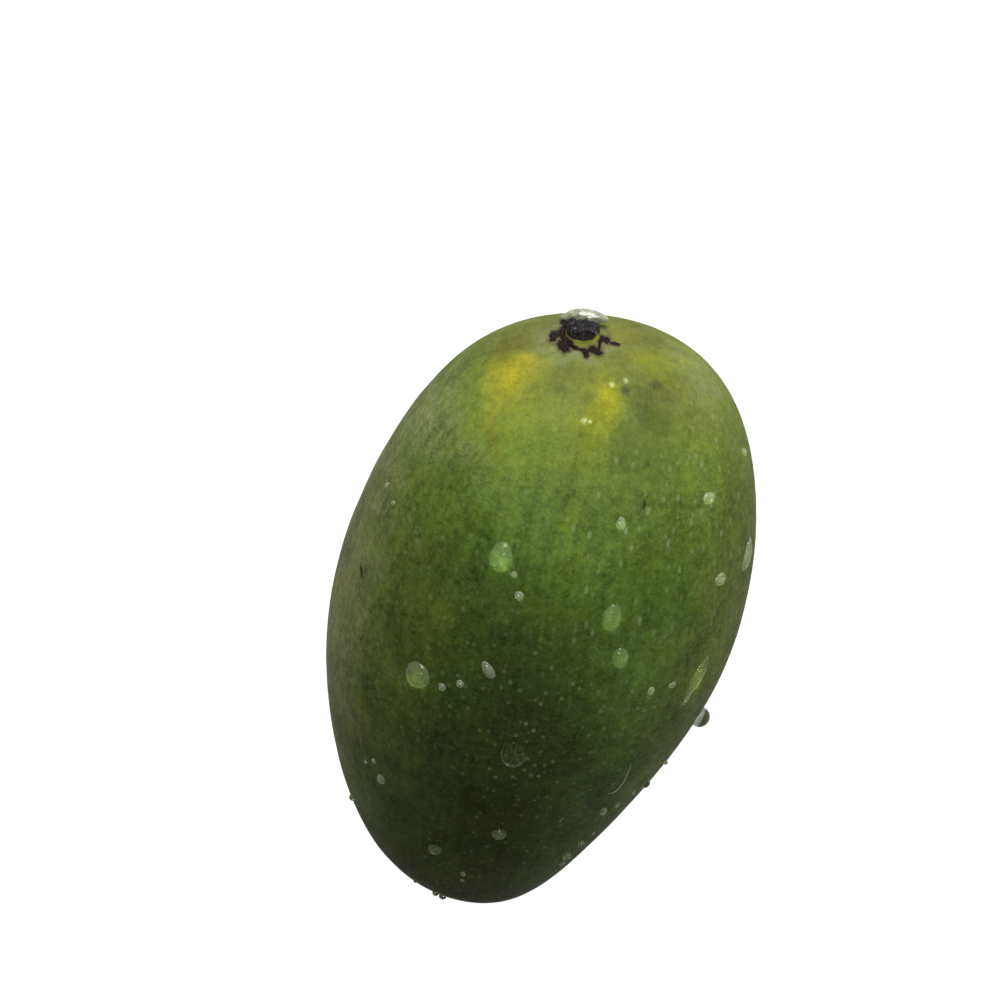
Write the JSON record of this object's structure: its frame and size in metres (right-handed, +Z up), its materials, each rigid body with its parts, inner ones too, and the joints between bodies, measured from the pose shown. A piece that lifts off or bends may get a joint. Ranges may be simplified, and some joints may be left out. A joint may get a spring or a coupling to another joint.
{
  "type": "mango",
  "caption": "Long green mango as picked, lying on its flatter cheek, with a short woody stalk stub in the hollow at its broad end.",
  "frame": {"origin": "middle of the small flat that the fruit rests on", "axes": "+Z up through the cheek, +Y along the fruit from the stalk end to the apex, +X towards the full side"},
  "size_m": [0.0708, 0.1294, 0.0611],
  "materials": {
    "skin": "waxy green skin with pale dots, yellower towards the stalk, wet",
    "stalk": "dark dried wood, rough",
    "scar": "dried dark ring round the stalk",
    "sap": "whitish wet sap",
    "water": "clear water drops"
  },
  "bodies": {
    "root": {"fruit": "skin", "stalk_stub": "stalk"}
  },
  "joints": []
}
